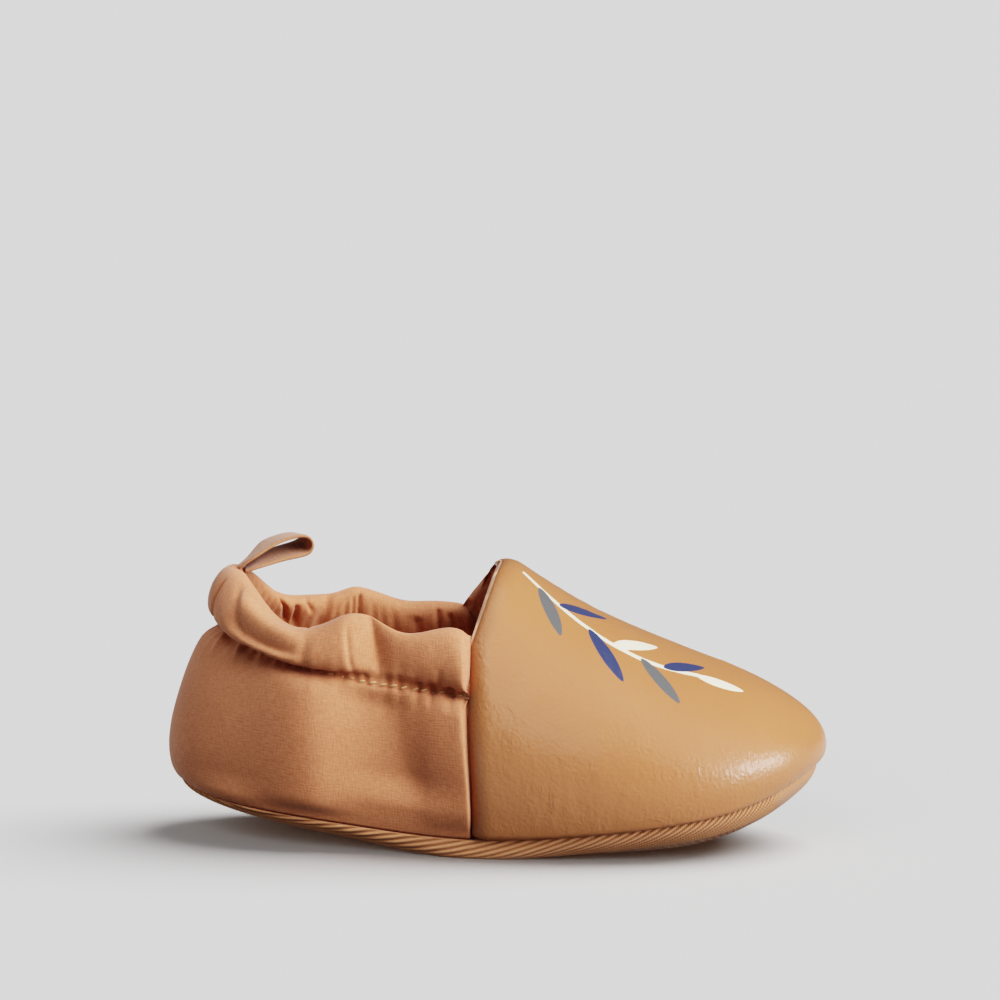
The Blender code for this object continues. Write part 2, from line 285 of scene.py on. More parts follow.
# Folds: side, mm along from the heel's middle, lean to the upper end, half width on the heel's side and
# on the toe's, depth (minus is a trough), then the share of the height where it starts and ends
casingFolds = (
    (-1, 6.8, -0.8, 0.5, 0.5, -0.8, -0.1, 0.7),
    (-1, 22.6, -15, 1.4, 0.5, -0.7, 0.3, 0.82),
    (-1, 27.8, 0, 0.4, 0.5, -0.4, 0.7, 1.1),
    (-1, 29.2, -0.6, 0.9, 1.2, -0.4, 0.05, 0.7),
    (-1, 38.9, -2.8, 0.4, 0.5, -0.4, 0.02, 0.68),
    (-1, 43.5, -2.6, 0.3, 2, -0.25, 0, 0.6),
    (-1, 53.9, 1.2, 0.4, 0.45, -0.45, -0.2, 0.36),
    (-1, 56.6, 0, 3.6, 3, 0.9, 0, 1),
    (1, 5.8, 0.6, 0.6, 0.8, -0.9, -0.3, 0.7),
    (1, 16, 1.2, 0.9, 1.2, -0.6, -0.2, 0.6),
    (1, 29, -1.4, 0.8, 1.4, -0.6, -0.2, 0.7),
    (1, 41.5, 1.6, 1.6, 3.2, -1, -0.2, 0.75),
    (1, 52.4, 0.4, 0.6, 0.6, -0.4, -0.2, 0.5),
)
# Places where the casing's padding is pressed in to a crease: side, mm along, lean, width on the heel's side
# and on the toe's, share of its bulge that is lost
casingPinches = (
    (-1, 43.5, -2.6, 6, 10.5, 1.15),
)
# Rolls that run along the casing: side, mm where it starts and ends, height there, half width, lift
casingRolls = (
    (-1, 11, 31, 0.66, 0.58, 0.11, 1.1),
    (-1, 12, 31, 0.41, 0.37, 0.1, -1),
)
innerFolds = (
    (1, 23.4, -5.9, 0.6, 0.8, -1.1, 0.05, 1.1),
    (1, 24.8, -2.6, 0.6, 0.7, -1.3, 0.05, 0.95),
    (1, 29.4, -4.4, 0.5, 0.6, -0.7, 0.5, 1.1),
    (1, 29.8, 0.4, 1, 1.2, -0.9, 0.05, 1.15),
    (1, 36.3, 0.2, 0.35, 0.4, -0.5, 0, 0.95),
    (1, 37.7, 0.3, 0.4, 0.45, -0.9, 0, 1.05),
    (1, 50, -1, 1, 1.2, -0.6, 0.1, 0.8),
    (1, 53.7, -0.3, 0.4, 0.5, -0.8, 0.05, 1.05),
    (1, 55.7, -0.2, 0.5, 0.6, -0.7, 0.05, 0.9),
    (-1, 9, 1, 0.8, 0.9, -0.9, 0.1, 0.95),
    (-1, 21, 1.6, 0.9, 1, -0.9, 0.1, 0.95),
    (-1, 30, -0.8, 0.8, 0.8, -0.8, 0.1, 0.9),
    (-1, 40, 0.6, 0.7, 1, -0.9, 0.1, 0.95),
    (-1, 51, 0.2, 0.8, 0.7, -0.8, 0.1, 0.9),
)
bodyFolds = (
    (-1, 51.9, -9, 10, 5.6, -2.4, 0.22, 1.04),
    (-1, 58.6, -2.6, 4.2, 3, 1.5, 0, 1.04),
    (-1, 31.5, 0, 8, 6, 1.7, 0, 1.04),
    (-1, 17, 0, 7.5, 7, -1.1, 0.05, 1.04),
    (-1, 50.4, 0, 0.5, 0.6, -0.5, 0.82, 1.2),
    (-1, 53, 0, 0.5, 0.5, -0.8, 0.8, 1.2),
    (-1, 55.2, 0, 0.45, 0.45, -0.7, 0.82, 1.2),
    (-1, 57.4, 0, 0.4, 0.4, -0.5, 0.84, 1.2),
    (-1, 8.8, 0, 0.6, 0.6, 0.9, 0.78, 1.2),
    (-1, 14.4, 0, 0.7, 0.7, 0.9, 0.8, 1.2),
    (-1, 11.4, 0, 0.9, 0.9, -0.5, 0.8, 1.2),
    (-1, 16.5, 1.2, 0.9, 1, -0.35, 0.74, 1.1),
    (1, 48, -8, 8, 5, -1.4, 0.1, 1.15),
    (1, 60, -8, 4, 3, 1, 0.3, 1.15),
    (1, 20, 1, 1, 1, -0.4, 0.72, 1.1),
    (1, 30, 0.5, 0.9, 0.9, -0.35, 0.75, 1.1),
    (1, 10, 1.6, 0.8, 0.8, -0.35, 0.72, 1.1),
)


def foldField(rows, arc, height, fade=0.22):
    # sum of listed troughs and ridges over a grid of arc (mm, near side minus) and height (0 to 1)
    total = np.zeros(np.broadcast(arc, height).shape)
    for side, at, lean, heelWidth, toeWidth, depth, low, high in rows:
        off = side * arc - at - lean * height
        ends = smooth((height - low) / fade) * smooth((high - height) / fade)
        total += depth * bell(off, np.where(off < 0, heelWidth, toeWidth)) * ends
    return total


def rollField(rows, arc, height, rise=0.2, fall=0.4):
    # sum of swells that run along the cloth instead of across it
    total = np.zeros(np.broadcast(arc, height).shape)
    for side, start, end, low, high, width, lift in rows:
        run = (side * arc - start) / (end - start)
        middle = low + (high - low) * np.clip(run, 0, 1)
        ends = smooth(run / rise) * smooth((1 - run) / fall)
        total += lift * ends * bell(height - middle, width)
    return total


def gathers(arc, seed, count=7, shortest=1.7, longest=4.2):
    # uneven small puckers along a drawn-up seam, about -1 to 1
    draw = np.random.default_rng(seed)
    total = 0
    for _ in range(count):
        total += np.sin(2 * np.pi * arc / draw.uniform(shortest, longest) + draw.uniform(0, 6.28))
    return total / math.sqrt(count)


def makeQuarter():
    q = quarterSizes
    n = 2 * seamSection * q["columns"] + 1
    s = np.linspace(-seamSection, seamSection, n)
    k, side = np.abs(s), np.where(s < 0, -1.0, 1.0)
    start = footLine(k, side)
    out = outFrom(start, 1)
    get = lambda name, odd=False: along(q[name], k, (not odd, False))
    stitch = np.stack((get("stitchX"), side * get("stitchHalf", True), get("stitchZ")), -1)
    rim = np.stack((get("rimX"), side * get("rimHalf", True), get("rimZ")), -1)
    arc = lengthAlong(stitch, 0)
    arc = arc - arc[n // 2]
    for swellSide, at, width, lift in rimSwells:
        rim[:, 2] += lift * bell(swellSide * arc - at, width)
    # body, turned under the vamp's edge at both ends
    t = np.linspace(0, 1, q["bodyRows"] + 1)
    low = start + out * get("bellyLow")[:, None] + up * get("bellyStart")[:, None]
    high = stitch + out * get("bellyHigh")[:, None] - up * q["bellyRise"]
    body = bezier(start, low, high, stitch, t)
    under = smooth(1 - (seamSection - k) / q["vampBlend"])[:, None, None]
    ends = seamSection + np.array((0.0, 0.01, 0.02))
    for sign, order, pick in ((-1.0, 1, 0), (1.0, -1, -1)):
        edge = vampSheet(ends[::order], np.full(3, sign), t * stitchShare)[pick]
        here = (side == sign)[:, None, None]
        body = np.where(here, body + under * (edge[None] - body), body)
    stitch = body[:, -1]
    # casing, out and over the rim, then down inside to the lining
    c = np.linspace(0, 1, q["casingRows"] + 1)
    height = (rim - stitch)[:, 2:]
    low = stitch + out * get("puff")[:, None] + up * height * get("puffRise")[:, None]
    high = rim + out * q["rollDepth"] + up * q["rollCrown"]
    casing = bezier(stitch, low, high, rim, c)
    chord = stitch[:, None, :] + (rim - stitch)[:, None, :] * c[None, :, None]
    bulge = ((casing - chord) * out[:, None, :]).sum(-1)
    for pinchSide, at, lean, heelWidth, toeWidth, share in casingPinches:
        off = pinchSide * arc[:, None] - at - lean * c[None, :]
        left = np.clip(1 - np.abs(off) / np.where(off < 0, heelWidth, toeWidth), 0, 1)
        casing = casing - out[:, None, :] * (share * bulge * left ** q["pinchCurve"])[..., None]
    d = np.linspace(0, 1, q["innerRows"] + 1)
    inStitch = stitch - out * q["wall"]
    low = rim - out * q["rimTuck"][0] - up * q["rimTuck"][1]
    high = inStitch - out * q["liningTuck"][0] + up * q["liningTuck"][1]
    inner = bezier(rim, low, high, inStitch, d)
    g = np.linspace(1, 0, q["liningRows"] + 1)
    index = np.round(g * q["bodyRows"]).astype(int)
    bodyOut = facing(body, -1)
    # folds, gathers and the groove that the stitches draw in
    a = arc[:, None]
    fromFoot = lengthAlong(body, 1)
    bodyFold = foldField(bodyFolds, a, t[None, :]) * smooth(fromFoot / q["foldFree"])
    lining = (body + bodyOut * (np.minimum(bodyFold, 0) - q["wall"])[..., None])[:, index]
    settle = smooth(lengthAlong(lining, 1) / q["moveFree"])[..., None]
    lining = inner[:, -1:] + (lining - lining[:, :1]) * (1 - settle) + (lining - inner[:, -1:]) * settle
    fromSeam = np.abs(arc[-1]) - np.abs(a)
    straight = smooth(fromSeam / q["seamFree"])
    behind = smooth((q["heelEnd"] - np.abs(a)) / q["heelFade"])
    below = lengthAlong(body[:, ::-1], 1)[:, ::-1]
    above = lengthAlong(casing, 1)
    pucker = q["pucker"] * gathers(a, 3)
    sunk = q["grooveDepth"] + q["grooveBehind"] * behind
    hollow = q["grooveWidth"] + q["hollowBehind"] * behind
    deep, reach = q["dimple"]
    turns = (np.abs(a) - arc[-1] + stitchSizes["endGap"]) / stitchSizes["pitch"]
    dimple = deep * np.cos(2 * np.pi * turns)
    drawn = lambda far, width: dimple * bell(far, reach) - sunk * bell(far, width)
    bodyMove = pucker * np.exp(-below / q["puckerReach"][0]) + drawn(below, hollow)
    bodyMove += q["bodySwell"] * cloud(body, 9.0, 5) * smooth(below / q["foldFree"])
    bodyMove = bodyFold * straight + bodyMove * smooth(fromFoot / q["moveFree"])
    drawnIn = out[:, None, :] * edgeRoll(fromSeam, *q["seamRoll"])[..., None]
    casingMove = foldField(casingFolds, a, c[None, :]) + rollField(casingRolls, a, c[None, :])
    casingMove = casingMove * straight + pucker * np.exp(-above / q["puckerReach"][1])
    casingMove += drawn(above, q["grooveWidth"])
    casingMove += q["casingSwell"] * cloud(casing, 6.5, 8)
    clear = smooth(above / q["casingFree"])
    casingMove = casingMove * clear + bodyMove[:, -1:] * (1 - clear)
    innerMove = foldField(innerFolds, a, (1 - d)[None, :])
    innerMove += q["pucker"] * gathers(a, 11) * smooth(2 * d)[None, :]
    innerMove -= edgeRoll(fromSeam, *q["innerRoll"])
    atRim = smooth(1 - (1 - c) * q["endShare"])[None, :]
    atLining = smooth(1 - (1 - d) * q["endShare"])[None, :]
    casingMove = casingMove * (1 - atRim) + innerMove[:, :1] * atRim
    innerOut = facing(np.concatenate((casing, inner[:, 1:]), 1), -1)
    joined = lambda: np.concatenate((body, casing[:, 1:], inner[:, 1:], lining[:, 1:], body[:, :1]), 1)
    flat = joined()
    body = body + bodyOut * bodyMove[..., None] - drawnIn
    casing = casing + innerOut[:, : len(c)] * casingMove[..., None] - drawnIn * (1 - atRim)[..., None]
    # lower corners of the casing slip back from the seam
    nearSeam, nearBody, nearCasing = q["notchReach"]
    notch = q["cornerNotch"] * bell(fromSeam, nearSeam)
    body[..., 0] -= notch * bell(below, nearBody)
    casing[..., 0] -= notch * bell(above, nearCasing)
    casing[:, 0] = body[:, -1]
    inner = inner + innerOut[:, len(c) - 1 :] * (innerMove * (1 - atLining))[..., None]
    inner[:, 0] = casing[:, -1]
    inner[:, -1] = lining[:, 0]
    piece = buildPiece("quarterCloth", [(joined(), gridUv(flat), True)])
    cap(piece)
    return piece, body[:, -1], unit(bodyOut[:, -1] + innerOut[:, 1]), lining[:, 0], -out, arc


def cap(piece):
    # closes the open ends of a piece
    work = bmesh.new()
    work.from_mesh(piece.data)
    made = bmesh.ops.holes_fill(work, edges=[e for e in work.edges if e.is_boundary], sides=0)["faces"]
    bmesh.ops.triangulate(work, faces=made)
    work.to_mesh(piece.data)
    work.free()


# Vamp leather, sewn to the quarter by a turned seam and left with a folded edge at the throat
vampSizes = {
    "columns": 44, "rows": 100, "startShare": 0.002, "gap": 0.4, "thickness": 1.0,
    "seamRoll": (4.2, 2.6), "paintedSeamShade": 1.7, "innerRoll": 0.75, "hemRoll": (1.2, 0.7),
    "hemFree": 2.5, "rearFree": 5.0, "warp": 2.4, "stretch": (1.0, 1.0, 0.55), "wrinkle": 0.045,
    "fineShare": 0.5, "patchShare": 0.6, "plainToe": (34.0, 20.0), "swell": 0.14,
}


def vampPlaces(perSection):
    reach = tipSection - seamSection
    r = np.linspace(-reach, reach, 2 * reach * perSection + 1)
    return tipSection - np.abs(r), np.where(r < 0, -1.0, 1.0)


def shell(name, outer, inner, outerUv=None):
    # closed shell between two grids of the same size, open only along the ridge, where its halves meet
    bottom = np.stack((inner[:, 0], outer[:, 0]), 1)
    first = np.stack((inner[0], outer[0]), 0)
    final = np.stack((outer[-1], inner[-1]), 0)
    hidden = ((inner, True), (bottom, False), (first, False), (final, False))
    sheets = [(grid, gridUv(grid, 200.0), flip) for grid, flip in hidden]
    return buildPiece(name, sheets + [(outer, gridUv(outer) if outerUv is None else outerUv, False)])


def makeVamp():
    v = vampSizes
    shares = np.linspace(v["startShare"], 1, v["rows"] + 1)
    k, side = vampPlaces(v["columns"])
    base = vampSheet(k, side, shares)
    normal = vampNormals(base, shares)
    fromRear = fromEnds(base)
    fromHem = lengthAlong(base, 1)
    warp = np.stack([cloud(base, 7.0, seed) for seed in (21, 22, 23)], -1) * v["warp"]
    drawn = (base + warp) * v["stretch"]
    crinkle, fine = (1 - 2 * np.abs(cloud(drawn, size, seed)) for size, seed in ((2.6, 31), (1.5, 37)))
    toeX, fade = v["plainToe"]
    where = smooth(v["patchShare"] + cloud(base, 11.0, 33)) * smooth(fromRear / v["rearFree"])
    where = where * smooth((toeX - base[..., 0]) / fade)
    move = v["wrinkle"] * (crinkle + v["fineShare"] * fine) * where + v["swell"] * cloud(base, 13.0, 35)
    lift = v["gap"] + v["thickness"] + move * smooth(fromHem / v["hemFree"])
    roll = edgeRoll(fromRear, *v["seamRoll"])
    outer = base + normal * (lift - roll - edgeRoll(fromHem, *v["hemRoll"]))[..., None]
    inner = base + normal * (v["gap"] - v["innerRoll"] * roll)[..., None]
    # places for the print: mm along the instep from the throat, mm round from the ridge
    fromRidge = side[:, None] * lengthAlong(base[:, ::-1], 1)[:, ::-1]
    instep = (base[..., 0] - printSizes["throatX"]) * math.hypot(1, vampForm["slope"])
    sewn = shares < rimShare
    edge = np.concatenate((outer[0, sewn], outer[-1, sewn]))
    return shell("vampLeather", outer, inner, np.stack((instep, fromRidge), -1)), placed(edge) * mm


# Lining under the vamp; a peek past the throat's edge is mm at its foot, mm lost, share where, over how much
liningSizes = {
    "columns": 24, "rows": 80, "startShare": 0.03,
    "nearPeek": (0.1, 0.2, 0.8, 0.18),
    "beyondPeek": (2.3, 2.4, 0.52, 0.26),
    "peekReach": 1.6, "lap": 2.4, "sunk": 1.5, "sunkReach": 2.4, "edgeRoll": (0.9, 0.9),
    "outerPlace": 0.2, "innerPlace": -1.3, "ripple": (0.3, 0.35, 46.0),
}


def makeVampLining():
    g = liningSizes
    shares = np.linspace(g["startShare"], 1, g["rows"] + 1)
    k, side = vampPlaces(g["columns"])
    base = vampSheet(k, side, shares)
    normal = vampNormals(base, shares)
    fromRear = fromEnds(base)
    free = smooth((shares - rimShare) / 0.08 + 0.7)[None, :]
    lapped = 1 - smooth((shares - stitchShare) / 0.06)[None, :]
    edge = bell(fromRear, g["peekReach"])
    peeks = (g["nearPeek"], g["beyondPeek"])
    near, beyond = (foot - lost * smooth((shares - at) / over) for foot, lost, at, over in peeks)
    peek = np.where((side > 0)[:, None], beyond, near)
    base[..., 0] -= edge * (peek * free + g["lap"] * lapped)
    sunk = g["sunk"] * bell(fromRear, g["sunkReach"]) * lapped
    uneven, waved, turns = g["ripple"]
    ripple = uneven * cloud(base, 3.6, 41) + waved * np.sin(shares * turns)[None, :] * free * edge
    roll = edgeRoll(fromRear, *g["edgeRoll"])
    outer = base + normal * (g["outerPlace"] - 0.9 * roll - sunk)[..., None]
    inner = base + normal * (g["innerPlace"] + ripple + 0.6 * roll - sunk)[..., None]
    return shell("vampLining", outer, inner)


# Padded twill sole: its rim is sewn to the upper and its turned edge shows as a band
soleSizes = {
    "columns": 62, "fitGap": 0.3,
    "edgeRoll": (1.2, 1.2, 1.2, 1.2, 1.2, 1.2, 1.4, 1.8, 2.2, 2.4),
    "rimWidth": 1.7, "thickness": 2.4, "dishFlat": 0.5, "dishSteep": 0.85, "dishHold": 0.6,
    "bandLength": 6.0, "bandRows": 28, "underRows": 14, "dishRows": 6, "sectionSteps": 160,
    "swell": 0.16, "swellStart": 1.5, "swellEnd": (9.0, 4.0), "planShift": 1.0, "ribPitch": 1.0,
    "ribHeight": 0.24, "ribAngle": -23.0, "ribsFrom": (0.25, 0.8), "ribsFacing": 0.35,
    "plainToe": (52.0, 2.5),
}


def soleLines(perSection):
    z = soleSizes
    s = np.linspace(-tipSection, tipSection, 2 * tipSection * perSection + 1)
    k = np.abs(s)
    start = footLine(k, np.where(s < 0, -1.0, 1.0))
    tangent = np.gradient(start[:, :2], axis=0)
    tangent[0] = tangent[-1] = (0.0, -1.0)
    out = unit(np.stack((-tangent[:, 1], tangent[:, 0], 0 * k), -1))
    seam = start - up * z["fitGap"]
    spine = np.stack((along(last["spineX"], k), 0 * k, along(last["spineZ"], k)), -1)
    return k, start, out, seam, spine


def dishGrid(out, seam, spine, shares):
    z = soleSizes
    rim = seam - out * z["rimWidth"]
    floor = spine * (1, 1, 0) + up * z["thickness"]
    flat = floor + (rim - floor) * z["dishFlat"]
    flat[:, 2] = floor[:, 2]
    steep = floor + (rim - floor) * z["dishSteep"]
    steep[:, 2] = floor[:, 2] + (rim[:, 2] - floor[:, 2]) * z["dishHold"]
    return bezier(floor, flat, steep, rim, shares)


def respaced(grid, marks):
    # the same section curves with their points at the given lengths from the start, or at shares of the rest
    length = lengthAlong(grid, 1)
    made = np.empty((len(grid), marks.shape[1], 3))
    for i in range(len(grid)):
        for axis in range(3):
            made[i, :, axis] = np.interp(marks[i], length[i], grid[i, :, axis])
    return made


def makeSole():
    z = soleSizes
    k, start, out, seam, spine = soleLines(z["columns"])
    low = seam + out * along(z["edgeRoll"], k)[:, None] - up * along(last["edgeDrop"], k)[:, None]
    high = spine + (seam - spine) * along(last["tread"], k)[:, None]
    high[:, 2] = spine[:, 2]
    tread = bezier(seam, low, high, spine, np.linspace(0, 1, z["sectionSteps"]))
    total = lengthAlong(tread, 1)[:, -1:]
    band = np.linspace(0, z["bandLength"], z["bandRows"] + 1)[None, :] + 0 * total
    rest = np.linspace(0, 1, z["underRows"] + 1)[1:]
    marks = np.concatenate((band, z["bandLength"] + (total - z["bandLength"]) * rest), 1)
    tread = respaced(tread, marks)
    end, fade = z["swellEnd"]
    shown = smooth(marks / z["swellStart"]) * smooth((end - marks) / fade)
    tread = tread + out[:, None, :] * (z["swell"] * cloud(tread, 9.0, 51) * shown)[..., None]
    tread[..., 2] = np.maximum(tread[..., 2], 0.0)
    dish = dishGrid(out, seam, spine, np.linspace(0, 1, z["dishRows"] + 1))
    # twill laid flat: the seam's plan moved out by what is left of the section
    plan = start[:, None, :2] + out[:, None, :2] * (z["planShift"] - marks)[..., None]
    rim = np.stack((dish[:, -1], tread[:, 0]), 1)
    sheets = [(tread, plan, False), (dish, dish[..., :2], False), (rim, rim[..., :2], False)]
    return buildPiece("soleTwill", sheets)


insoleSizes = {"columns": 16, "rows": 18, "reach": 0.9, "gap": 0.3, "thickness": 1.8, "swell": 0.15}


def makeInsole():
    n = insoleSizes
    k, start, out, seam, spine = soleLines(n["columns"])
    under = dishGrid(out, seam, spine, np.linspace(0, n["reach"], n["rows"] + 1)) + up * n["gap"]
    top = under + up * (n["thickness"] + n["swell"] * cloud(under, 10.0, 61))[..., None]
    side = np.stack((under[:, -1], top[:, -1]), 1)
    sheets = [(grid, grid[..., :2], flip) for grid, flip in ((top, False), (under, True), (side, True))]
    return buildPiece("insoleSock", sheets)


# Heel loop of tape, its near edge a little lower so that the inside of the loop shows
loopSizes = {
    "route": (
        (-49.0, 48.7), (-46.8, 50.6), (-43.8, 52.8), (-40.4, 54.1), (-37.7, 54.4), (-36.2, 53.4),
        (-37.0, 52.1), (-39.9, 51.3), (-43.2, 50.4), (-46.0, 49.3), (-47.9, 48.2),
    ),
    "width": 8.0, "thickness": 0.7, "rootWidth": 6.4, "tiltTop": -0.05, "tiltLow": 0.2, "yaw": 21.0,
    "steps": 8, "across": 16,
}


def makeLoop():
    p = loopSizes
    route = np.array(p["route"])
    m = np.linspace(0, len(route) - 1, (len(route) - 1) * p["steps"] + 1)
    x, z = (along(route[:, i], m, (False, False)) for i in (0, 1))
    free = np.sin(np.pi * m / m[-1]) ** 0.6
    width = p["rootWidth"] + (p["width"] - p["rootWidth"]) * free
    y = np.linspace(-0.5, 0.5, p["across"] + 1)
    across = width[:, None] * y[None, :]
    tilt = p["tiltTop"] + (p["tiltLow"] - p["tiltTop"]) * smooth((m / m[-1] - 0.42) / 0.2)
    reach = (x - x[0])[:, None]
    yaw = math.radians(p["yaw"]) * smooth(reach / 6)
    atX = x[0] + reach * np.cos(yaw) - across * np.sin(yaw)
    atY = reach * np.sin(yaw) + across * np.cos(yaw)
    grid = np.stack((atX, atY, z[:, None] + (tilt * free)[:, None] * across), -1)
    normal = facing(grid, 1)
    edge = 1 - 0.45 * (np.abs(y) * 2) ** 8
    half = (p["thickness"] / 2 * edge)[None, :, None]
    a, b = grid + normal * half, grid - normal * half
    strips = [np.stack(pair, 1) for pair in ((b[:, 0], a[:, 0]), (a[:, -1], b[:, -1]))]
    strips += [np.stack(pair, 0) for pair in ((b[0], a[0]), (a[-1], b[-1]))]
    sheets = [(a, gridUv(a), False), (b, gridUv(b), True)]
    return buildPiece("heelLoopTape", sheets + [(strip, gridUv(strip), False) for strip in strips])


def setInputs(tree, node, inputs):
    for key, value in inputs.items():
        if isinstance(value, bpy.types.NodeSocket):
            tree.links.new(value, node.inputs[key])
        else:
            node.inputs[key].default_value = value


def addNode(tree, kind, inputs=None, **settings):
    node = tree.nodes.new(kind)
    for name, value in settings.items():
        setattr(node, name, value)
    setInputs(tree, node, inputs or {})
    return node


def fromNode(*given, **settings):
    return addNode(*given, **settings).outputs[0]


def maths(tree, operation, *values):
    return fromNode(tree, "ShaderNodeMath", dict(enumerate(values)), operation=operation)


def scaled(tree, vector, size):
    return fromNode(tree, "ShaderNodeVectorMath", {0: vector, 3: size}, operation="SCALE")


def mixed(tree, share, first, second):
    # sockets 6 and 7 in and 2 out are the ones for colours
    return addNode(tree, "ShaderNodeMix", {0: share, 6: first, 7: second}, data_type="RGBA").outputs[2]


def ranged(tree, value, given=(0.0, 1.0), wanted=(0.0, 1.0), **settings):
    names = ("Value", "From Min", "From Max", "To Min", "To Max")
    inputs = dict(zip(names, (value, *given, *wanted)))
    return fromNode(tree, "ShaderNodeMapRange", inputs, **settings)


def noisy(tree, place, scale, detail, distortion=0.0):
    inputs = {"Vector": place, "Scale": scale, "Detail": detail, "Distortion": distortion}
    return fromNode(tree, "ShaderNodeTexNoise", inputs)


def mapped(tree, place, **inputs):
    return fromNode(tree, "ShaderNodeMapping", {"Vector": place, **inputs})


def bumped(tree, height, strength, depth):
    inputs = {"Height": height, "Strength": strength, "Distance": depth * mm}
    return fromNode(tree, "ShaderNodeBump", inputs)


def stored(tree, name):
    return addNode(tree, "ShaderNodeAttribute", attribute_name=name).outputs["Fac"]


def tint(hexColour):
    parts = [int(hexColour[i : i + 2], 16) / 255 for i in (1, 3, 5)]
    linear = [c / 12.92 if c <= 0.04045 else ((c + 0.055) / 1.055) ** 2.4 for c in parts]
    return (*linear, 1.0)


def newMaterial(name):
    made = bpy.data.materials.new(name)
    made.use_nodes = True
    tree = made.node_tree
    return made, tree, tree.nodes["Principled BSDF"]


def wovenCotton(name, base, light, dark, thread=0.3, slub=1.5, sheen=0.25):
    # plain woven cotton: matt, fine crossing threads, tiny glints and a soft bloom at grazing angles
    # the real threads are 0.2 mm apart, drawn half as coarse again so that they show
    made, tree, shader = newMaterial(name)
    cloth = addNode(tree, "ShaderNodeUVMap", uv_map="clothMm").outputs["UV"]
    ways = ((1 / thread, 1 / slub, 1), (1 / slub, 1 / thread, 1))
    threads = maths(tree, "ADD", *(noisy(tree, mapped(tree, cloth, Scale=way), 1.0, 1.0) for way in ways))
    shade = mixed(tree, ranged(tree, threads, (0.7, 1.3)), tint(dark), tint(light))
    calm = mixed(tree, 0.5, shade, tint(base))
    blotch = ranged(tree, noisy(tree, cloth, 0.16, 3.0), wanted=(0.92, 1.08))
    setInputs(tree, shader, {
        "Base Color": scaled(tree, calm, blotch), "Normal": bumped(tree, threads, 0.4, 0.1),
        "Roughness": 0.72, "Specular IOR Level": 0.4, "Sheen Weight": sheen, "Sheen Roughness": 0.45,
    })
    return made


def fauxLeather(name, prints):
    # polyurethane on a knit, cast with a fine grain: satin, crinkles that catch the light, printed inks,
    # painted shade along the sewn edge
    made, tree, shader = newMaterial(name)
    place = addNode(tree, "ShaderNodeTexCoord").outputs["Object"]
    grain = fromNode(tree, "ShaderNodeTexVoronoi", {"Vector": place, "Scale": 1 / (0.8 * mm)})
    pore = noisy(tree, place, 1 / (0.6 * mm), 3.0)
    # short crinkles: thin lines where a noise crosses its middle, upright and wavy, broken into patches
    lines = []
    for size, squash, warp in ((1.5, (1.0, 1.0, 0.4), 0.3), (2.2, (1.0, 1.0, 1.0), 0.9)):
        drawn = mapped(tree, place, Rotation=(0, 0.15, 0), Scale=squash)
        middle = maths(tree, "SUBTRACT", noisy(tree, drawn, 1 / (size * mm), 1.0, warp), 0.5)
        gap = maths(tree, "ABSOLUTE", middle)
        lines.append(ranged(tree, gap, (0.0, 0.16), (1.0, 0.0), interpolation_type="SMOOTHSTEP"))
    where = ranged(tree, noisy(tree, place, 1 / (6 * mm), 2.0), (0.38, 0.62))
    crinkled = maths(tree, "MULTIPLY", maths(tree, "ADD", *lines), where)
    colour = mixed(tree, noisy(tree, place, 1 / (14 * mm), 4.0), tint("#A66B44"), tint("#AD744C"))
    # painted shade: the leather's colour darkens towards the sewn edge, where the seam crease falls in shade
    seam = maths(tree, "MULTIPLY", stored(tree, "paintedSeamShade"), 0.75)
    colour = mixed(tree, seam, colour, tint("#75543F"))
    for attribute, ink in prints.items():
        mask = ranged(tree, stored(tree, attribute), (0.07, -0.07))
        colour = mixed(tree, mask, colour, tint(ink))
    fine = maths(tree, "MULTIPLY_ADD", pore, 0.6, grain)
    height = maths(tree, "MULTIPLY_ADD", crinkled, 0.6, fine)
    setInputs(tree, shader, {
        "Base Color": colour, "Normal": bumped(tree, height, 0.33, 0.12),
        "Roughness": ranged(tree, pore, wanted=(0.26, 0.38)), "IOR": 1.5,
    })
    return made


def ribbedTwill(name):
    # heavy cotton twill: raised diagonal ribs of doubled yarn, matt; painted shade darkens the colour in the
    # rib valleys and between the yarns
    made, tree, shader = newMaterial(name)
    z = soleSizes
    cloth = addNode(tree, "ShaderNodeUVMap", uv_map="clothMm").outputs["UV"]
    turned = mapped(tree, cloth, Rotation=(0, 0, -math.radians(z["ribAngle"])))
    split = addNode(tree, "ShaderNodeSeparateXYZ", {0: turned}).outputs
    wave = maths(tree, "COSINE", maths(tree, "MULTIPLY", split["Y"], 2 * math.pi / z["ribPitch"]))
    # yarns cross each rib on a slant, 0.45 mm apart
    slant = maths(tree, "MULTIPLY_ADD", split["Y"], 0.7, split["X"])
    yarn = maths(tree, "SINE", maths(tree, "MULTIPLY", slant, 2 * math.pi / 0.45))
    level = ranged(tree, maths(tree, "MULTIPLY_ADD", yarn, 0.35, wave), (-1.2, 0.5))
    # painted shade: the colour is drawn darker in the rib valleys and between the slanted yarns, where the
    # raised ribs shade them
    paintedValleyShade = fromNode(tree, "ShaderNodeMix", {0: stored(tree, "ribShow"), 2: 0.7, 3: level})
    shade = mixed(tree, paintedValleyShade, tint("#835538"), tint("#C98F68"))
    speck = ranged(tree, noisy(tree, cloth, 1.6, 3.0), wanted=(0.82, 1.18))
    height = maths(tree, "MULTIPLY_ADD", yarn, 0.3, wave)
    setInputs(tree, shader, {
        "Base Color": scaled(tree, shade, speck), "Normal": bumped(tree, height, 0.5, 0.1),
        "Roughness": 0.85, "Specular IOR Level": 0.3, "Sheen Weight": 0.15,
    })
    return made


